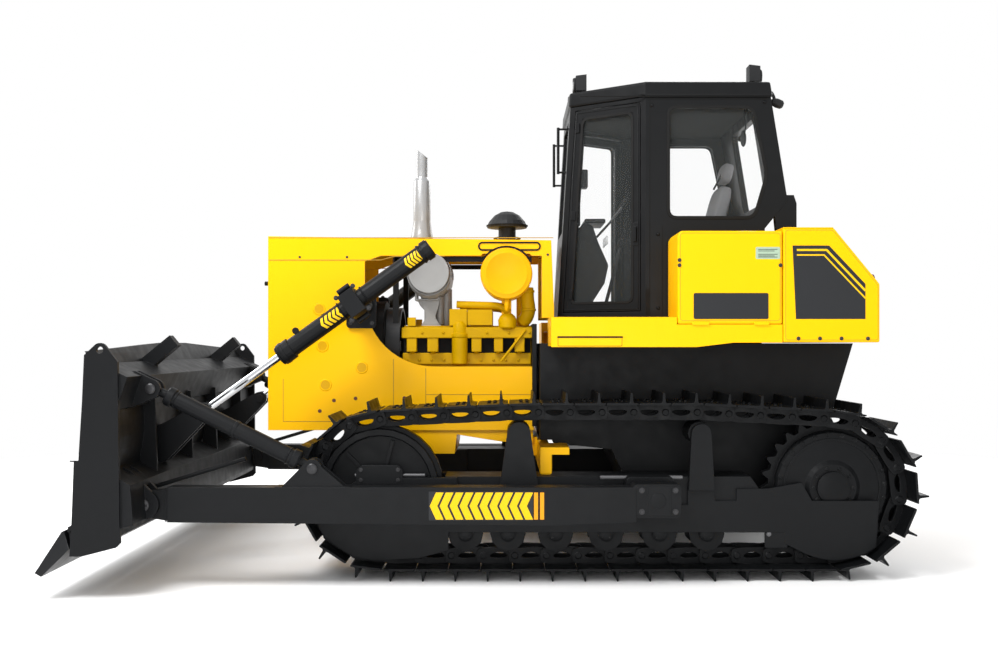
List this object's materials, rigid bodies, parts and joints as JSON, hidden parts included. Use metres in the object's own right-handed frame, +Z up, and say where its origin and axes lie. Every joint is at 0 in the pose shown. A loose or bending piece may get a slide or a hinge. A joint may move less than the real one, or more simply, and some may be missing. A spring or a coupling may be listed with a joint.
{
  "type": "bulldozer",
  "caption": "Crawler bulldozer with a straight blade on outside push arms, two lift cylinders, an open-sided engine bay and an enclosed cab.",
  "frame": {"origin": "on the ground, under the middle of the machine's box", "axes": "+Z up, -X towards the blade, -Y the machine's left side"},
  "size_m": [5.755, 3.724, 3.63],
  "materials": {
    "yellow": "satin",
    "black": "satin",
    "steel": "satin",
    "chrome": "polished",
    "aluminium": "satin",
    "silver": "satin",
    "engine": "satin",
    "rubber": "matte",
    "glass": "clear",
    "seat": "matte"
  },
  "bodies": {
    "machine": {"air_cleaner": "yellow", "battery_box": "yellow", "cab_frame": "black", "cab_roof": "black", "console": "rubber", "cylinder_bracket_left": "black", "cylinder_bracket_right": "black", "drawbar": "black", "engine_block": "engine", "exhaust_stack": "aluminium", "front_lamps": "rubber", "fuel_tank": "yellow", "grille": "rubber", "hood": "yellow", "hydraulic_tank": "yellow", "idler_left": "black", "idler_right": "black", "main_frame": "yellow", "muffler": "silver", "platform_left": "yellow", "platform_right": "yellow", "precleaner": "rubber", "radiator": "rubber", "radiator_guard": "yellow", "rear_case": "black", "rear_lamps": "rubber", "rear_window": "glass", "roller_bank_left": "steel", "roller_bank_right": "steel", "seat": "seat", "side_panel_left": "yellow", "side_panel_right": "yellow", "side_window_left": "glass", "side_window_right": "glass", "sprocket_left": "steel", "sprocket_right": "steel", "track_frame_left": "black", "track_frame_right": "black", "track_left": "steel", "track_right": "steel", "windscreen": "glass"},
    "push_frame": {"blade": "black", "cutting_edge": "steel", "push_arm_left": "black", "push_arm_right": "black", "brace_left": "black", "brace_right": "black"},
    "lift_barrel_left": {"lift_barrel_left": "black"},
    "lift_rod_left": {"lift_rod_left": "chrome"},
    "door_left": {"door_left": "black", "door_glass_left": "glass"},
    "lift_barrel_right": {"lift_barrel_right": "black"},
    "lift_rod_right": {"lift_rod_right": "chrome"},
    "door_right": {"door_right": "black", "door_glass_right": "glass"}
  },
  "joints": [
    {"name": "blade_lift", "type": "hinge", "parent": "machine", "child": "push_frame", "pos_m": [0.997, 0, 0.585], "axis": [0, 1, 0], "range_deg": [-10, 16]},
    {"name": "lift_trunnion_left", "type": "hinge", "parent": "machine", "child": "lift_barrel_left", "pos_m": [-1.044, -0.896, 1.882], "axis": [0, 1, 0], "range_deg": [-19.5, 31]},
    {"name": "lift_slide_left", "type": "slide", "parent": "lift_barrel_left", "child": "lift_rod_left", "axis": [-0.8109, 0, -0.5852], "range_m": [-0.575, 0.36]},
    {"name": "lift_trunnion_right", "type": "hinge", "parent": "machine", "child": "lift_barrel_right", "pos_m": [-1.044, 0.896, 1.882], "axis": [0, 1, 0], "range_deg": [-19.5, 31]},
    {"name": "lift_slide_right", "type": "slide", "parent": "lift_barrel_right", "child": "lift_rod_right", "axis": [-0.8109, 0, -0.5852], "range_m": [-0.575, 0.36]},
    {"name": "door_swing_left", "type": "hinge", "parent": "machine", "child": "door_left", "pos_m": [0.99567, -0.7758, 2.58], "axis": [0, 0, 1], "range_deg": [0, 85]},
    {"name": "door_swing_right", "type": "hinge", "parent": "machine", "child": "door_right", "pos_m": [0.99567, 0.7758, 2.58], "axis": [0, 0, -1], "range_deg": [0, 85]}
  ],
  "couplings": [
    {"joint": "lift_trunnion_left", "follows": "blade_lift", "ratio": 1.88},
    {"joint": "lift_slide_left", "follows": "blade_lift", "m_per_rad": -1.95},
    {"joint": "lift_trunnion_right", "follows": "blade_lift", "ratio": 1.88},
    {"joint": "lift_slide_right", "follows": "blade_lift", "m_per_rad": -1.95}
  ]
}
